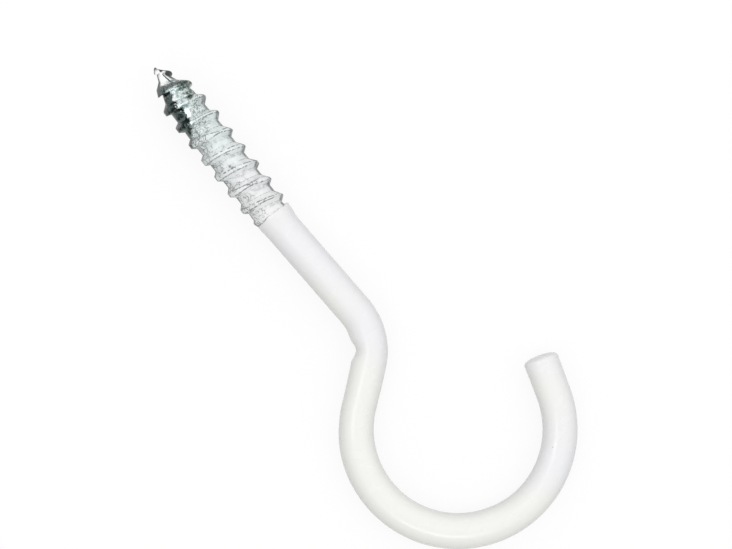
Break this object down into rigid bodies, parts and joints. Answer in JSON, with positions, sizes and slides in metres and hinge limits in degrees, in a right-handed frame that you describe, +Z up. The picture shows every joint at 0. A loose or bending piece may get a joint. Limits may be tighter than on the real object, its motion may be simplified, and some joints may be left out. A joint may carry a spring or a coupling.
{
  "type": "screw hook",
  "caption": "Bent-wire screw hook: a coated round wire with a wood thread and gimlet point at one end and an open round bowl at the other.",
  "frame": {"origin": "on the screw's axis, where the thread comes out of the coat's collar", "axes": "+Y along the screw's axis to its point, +X to the side where the bowl's mouth opens, +Z up, square to the wire's plane, with the hook lying flat"},
  "size_m": [0.0326, 0.0789, 0.006],
  "materials": {
    "white_coat": "smooth semi-gloss white coat over steel, thin on the thread and worn to bare zinc at the point"
  },
  "bodies": {
    "root": {"screw_hook": "white_coat"}
  },
  "joints": []
}
